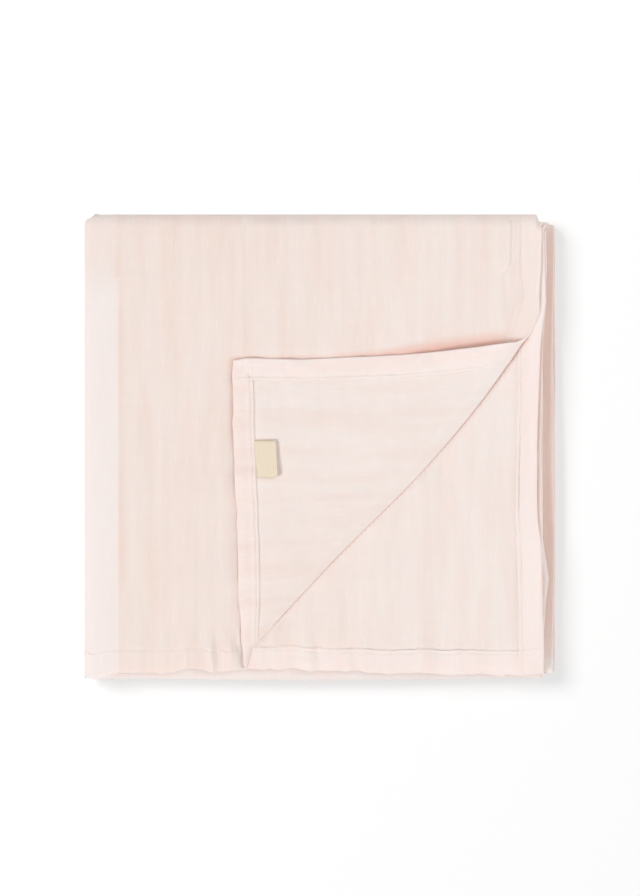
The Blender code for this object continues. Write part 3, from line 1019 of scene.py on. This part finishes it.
def doubleMuslin():
    # open plain weave of fine cotton, two layers: matt and soft, with thicker slubs along the warp
    # and cloudy bands where the layers lie in or out of step
    material, tree, shader = newMaterial("Double muslin, garment dyed", muslin["surface"])

    def grain(across, along, detail, place, *peaks):
        noise = noiseAt(tree, across, along, detail, muslin["roughness"], place)
        if not peaks:
            return noise
        inputs = {"Value": noise, "From Min": peaks[0], "From Max": peaks[1]}
        return addNode(tree, "MapRange", {}, inputs).outputs["Result"]

    def plus(value, share, rest):
        # rest + share x (value - 0.5)
        inputs = {0: value, 1: share, 2: -0.5 * share}
        scaled = addNode(tree, "Math", dict(operation="MULTIPLY_ADD"), inputs).outputs[0]
        return addNode(tree, "Math", dict(operation="ADD"), {0: scaled, 1: rest}).outputs[0]

    def mixed(share, under, over, way="MIX"):
        inputs = {0: share, 6: under, 7: hexColour(over)}
        return addNode(tree, "Mix", dict(data_type="RGBA", blend_type=way), inputs).outputs[2]

    def marked(name):
        return addNode(tree, "Attribute", dict(attribute_name=name), {}).outputs["Fac"]

    grains = {name: grain(*numbers) for name, numbers in muslin["grains"].items()}
    tone = threads = 0.5
    for name, share in muslin["tone"].items():
        tone = plus(grains[name], share, tone)
    for name, share in muslin["threads"].items():
        threads = plus(grains[name], share, threads)
    colour = mixed(tone, hexColour(muslin["deep"]), muslin["light"])
    # the dye has taken a little deeper in long soft bands
    colour = mixed(grains["patches"], colour, muslin["blush"], "MULTIPLY")
    # paler on the hems, and painted light on the rolled stack, along the fold at halfY and towards the
    # right
    colour = mixed(marked("paleHemAndPaintedLight"), colour, muslin["pale"])
    # painted shade, deeper and warmer, in folds, gaps and the shadows of the turned corner and label,
    # standing in for light that has come through cloth
    colour = mixed(marked("paintedShadeShare"), colour, muslin["paintedShadeTone"], "MULTIPLY")
    feed(shader, {"Base Color": colour, "Normal": bumpFrom(tree, threads, *muslin["bump"])})
    return material


satin = dict(
    ribs=(6.0, 0.35, 2.0, 0.5),  # mm across and along, detail and roughness
    tones=((0.3, "#E3D2BA"), (0.7, "#EBDDC8")),
    bump=(0.3, 0.0001),
    surface=dict(Roughness=0.7),
)


def wovenRibbon():
    # dense cotton satin ribbon: smooth and a little glossier than the muslin, with fine ribs across it
    material, tree, shader = newMaterial("Cotton satin ribbon, cream", satin["surface"])
    grain = noiseAt(tree, *satin["ribs"])
    colour, normal = twoTones(tree, grain, satin["tones"]), bumpFrom(tree, grain, *satin["bump"])
    feed(shader, {"Base Color": colour, "Normal": normal})
    return material


muslinMaterial = doubleMuslin()
ribbonMaterial = wovenRibbon()
blanket = addPiece("muslinBlanket", flatCloth(), muslinMaterial)
foldPiece(blanket)
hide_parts("blanket")
print("folded the cloth:", sum(len(p.vertices) - 2 for p in blanket.data.polygons), "triangles")


# the sewing of the hems: a row of straight stitches on each side of the cloth
seam = dict(
    length=2.7,
    pitch=3.3,
    thick=0.36,
    proud=0.06,
    apart=10.0,
    fromEnd=1.5,
    round=6,
    rings=4,
    plies=1000 / 0.6,
    tones=((0.35, "#EBD6CA"), (0.65, "#F8ECE6")),
    surface={"Roughness": 0.85, "Specular IOR Level": 0.3},
)


def stitchRow(length, upright):
    # a row of stitches from the origin along x, or along y where upright
    row = bmesh.new()
    count = int((length - seam["length"]) / seam["pitch"])
    size, place, step = [seam["length"], seam["thick"]], [seam["length"] / 2, 0], [seam["pitch"], 0]
    if upright:
        size, place, step = size[::-1], place[::-1], step[::-1]
    bmesh.ops.create_uvsphere(row, u_segments=seam["round"], v_segments=seam["rings"], radius=0.5)
    bmesh.ops.scale(row, vec=size + [seam["thick"]], verts=row.verts)
    bmesh.ops.translate(row, vec=place + [0], verts=row.verts)
    geometry = row.verts[:] + row.edges[:] + row.faces[:]
    bmesh.ops.spin(row, geom=geometry, axis=(0, 0, 1), dvec=step + [0], steps=count, use_duplicate=True)
    return asData("stitchRow", row)


def hemStitches():
    # which side of the cloth a row is on goes in z
    mesh = bmesh.new()
    inset = hem["stitchAt"]
    upright = stitchRow(clothLength - 2 * seam["fromEnd"], True)
    level = stitchRow(clothWidth - 2 * hem["wide"], False)
    places = [(upright, x, frontEdge + seam["fromEnd"]) for x in (leftEdge + inset, rightEdge - inset)]
    places += [(level, leftEdge + hem["wide"], y) for y in (frontEdge + inset, backEdge - inset)]
    for side in (seam["apart"], -seam["apart"]):
        for row, x, y in places:
            before = len(mesh.verts)
            mesh.from_mesh(row)
            bmesh.ops.translate(mesh, vec=(x, y, side), verts=mesh.verts[before:])
    for row in (upright, level):
        bpy.data.meshes.remove(row)
    return mesh


def sewPiece(piece):
    x, y, level = placesOf(piece.data)
    outX, outY = outwards(x, y)
    onSide = hemPlace(x, y)[0] < hem["wide"]
    shiftX = np.where(onSide, outX * hemWander(y, "side"), 0.0)
    shiftY = np.where(onSide, 0.0, outY * hemWander(x, "end"))
    x, y = x + shiftX, y + shiftY
    face, back = clothSides(x, y)
    driftX, driftY = edgeDrift(x, y)
    above = face + seam["proud"] + level - seam["apart"]
    below = back - seam["proud"] + level + seam["apart"]
    layFolded(piece, x + driftX, y + driftY, np.where(level > 0, above, below))


def sewingThread():
    # spun cotton thread of two plies, dyed with the cloth: matt, and a little paler than the muslin
    material, tree, shader = newMaterial("Cotton sewing thread", seam["surface"])
    place = addNode(tree, "TexCoord", {}, {}).outputs["Object"]
    plies = addNode(tree, "TexNoise", {}, dict(Vector=place, Scale=seam["plies"], Detail=1.0))
    feed(shader, {"Base Color": twoTones(tree, plies.outputs["Fac"], seam["tones"])})
    return material


seams = addPiece("hemStitches", hemStitches(), sewingThread())
sewPiece(seams)
inStitch = seam["round"] * (seam["rings"] - 1) + 2
print("sewed the hems:", len(seams.data.vertices) // inStitch, "stitches")


# the label
def foldedLabel():
    mesh = bmesh.new()
    left = labelMiddle - label["width"] / 2
    start = frontEdge + label["rootAt"]
    shares = evenSteps(0, 0.9, 9) + [0.93, 0.96, 0.98, 1.0]
    radius = (label["ply"] + label["gap"]) / 2
    section = [(share * label["length"], 0.0) for share in shares]
    for degrees in (30, 60, 90, 120, 150):
        angle = math.radians(degrees)
        section.append((label["length"] + radius * math.sin(angle), radius * (1 - math.cos(angle))))
    section += [(share * label["length"], 2 * radius) for share in reversed(shares)]
    verts = [mesh.verts.new((left, start + reach, -above)) for reach, above in section]
    edges = [mesh.edges.new(pair) for pair in zip(verts, verts[1:])]
    for _ in range(label["strips"]):
        made = bmesh.ops.extrude_edge_only(mesh, edges=edges)
        moved = [item for item in made["geom"] if isinstance(item, bmesh.types.BMVert)]
        bmesh.ops.translate(mesh, vec=(label["width"] / label["strips"], 0, 0), verts=moved)
        edges = [item for item in made["geom"] if isinstance(item, bmesh.types.BMEdge)]
        edges = [edge for edge in edges if all(vert in moved for vert in edge.verts)]
    layPlan(mesh)
    return mesh


ribbon = addPiece("hemLabel", foldedLabel(), ribbonMaterial)
x, y, above = placesOf(ribbon.data)
reach = (y - frontEdge - label["rootAt"]) / label["length"]
seat = -hem["thickness"] / 2 - label["below"] - label["ply"] / 2
# its folded end has rounded corners and stands up, and its root is pressed flat under the hem
atEnd = np.clip(1 - (1 - reach) * label["length"] / label["rounding"], 0, 1)
drawnIn = label["rounding"] * (1 - np.sqrt(1 - label["roundest"] * atEnd**2))
x = labelMiddle + (x - labelMiddle) * (1 - 2 * drawnIn / label["width"])
above = above * (label["rootPly"] + (1 - label["rootPly"]) * ease(reach / label["rootReach"]))
crown = label["crown"] * np.cos((x - labelMiddle) / label["width"] * math.pi)
rise = label["rise"] * np.clip(reach, 0, 1.1) ** label["riseBend"] + crown * np.clip(reach, 0, 1)
layFolded(ribbon, x, y, seat + above - rise)
plies = ribbon.modifiers.new("Ply", "SOLIDIFY")
plies.thickness = label["ply"] * 0.001
plies.offset = 0
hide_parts("label")
print("label folded")

# floor, light and camera
studio = dict(
    # place in metres, size and power
    clothLights=dict(
        softKey=((-2.5, -1.3, 3.1), 1.2, 82),
        softTop=((0.45, 0.2, 1.6), 1.2, 7),
        softSide=((1.9, 0.2, 0.8), 1.2, 9.8),
    ),
    tableLight=((-2, 0.95, 2.65), 1.4, 92),
    fillStrength=0.42,
    tableSize=3.0,
    tablePaint=0.45,
    tableGlow=0.57,
)


def lightTable():
    mesh = bmesh.new()
    bmesh.ops.create_grid(mesh, x_segments=1, y_segments=1, size=studio["tableSize"])
    floor = placeNew("lightTable", asData("lightTable", mesh))
    surface = {
        "Base Color": (studio["tablePaint"],) * 3 + (1,),
        "Roughness": 1.0,
        "Specular IOR Level": 0.0,
        "Emission Color": (1, 1, 1, 1),
        "Emission Strength": studio["tableGlow"],
    }
    floor.data.materials.append(newMaterial("White light table", surface)[0])
    return floor


def addLight(name, place, size, power, lit):
    lamp = bpy.data.lights.new(name, "AREA")
    lamp.size = size
    lamp.energy = power
    holder = placeNew(name, lamp)
    holder.location = place
    holder.rotation_euler = (-Vector(place)).to_track_quat("-Z", "Y").to_euler()
    group = bpy.data.collections.new(name + "Lights")
    for piece in lit:
        group.objects.link(piece)
    holder.light_linking.receiver_collection = group


table = lightTable()
dressed = [blanket, seams, ribbon]
for name, light in studio["clothLights"].items():
    addLight(name, *light, dressed)
addLight("tableLight", *studio["tableLight"], [table])
world = bpy.data.worlds.new("Studio")
world.use_nodes = True
feed(world.node_tree.nodes["Background"], dict(Color=(1, 1, 1, 1), Strength=studio["fillStrength"]))
bpy.context.scene.world = world
bpy.context.scene.view_settings.view_transform = "Standard"

# straight above, so that a pixel of the 640 x 896 frame is 0.66 mm at the top of the stack
camera = dict(
    lens=135.0,
    sensor=36.0,
    pixel=0.66,
    frameLong=896,
    topOfStack=26.0,
    centre=(0.66, -0.99),
    clipStart=0.05,
)
distance = camera["lens"] * camera["pixel"] * camera["frameLong"] / camera["sensor"]
lens = bpy.data.cameras.new("above")
lens.lens = camera["lens"]
lens.clip_start = camera["clipStart"]
viewer = placeNew("above", lens)
viewer.location = [place * 0.001 for place in (*camera["centre"], distance + camera["topOfStack"])]
bpy.context.scene.camera = viewer
print("studio set")
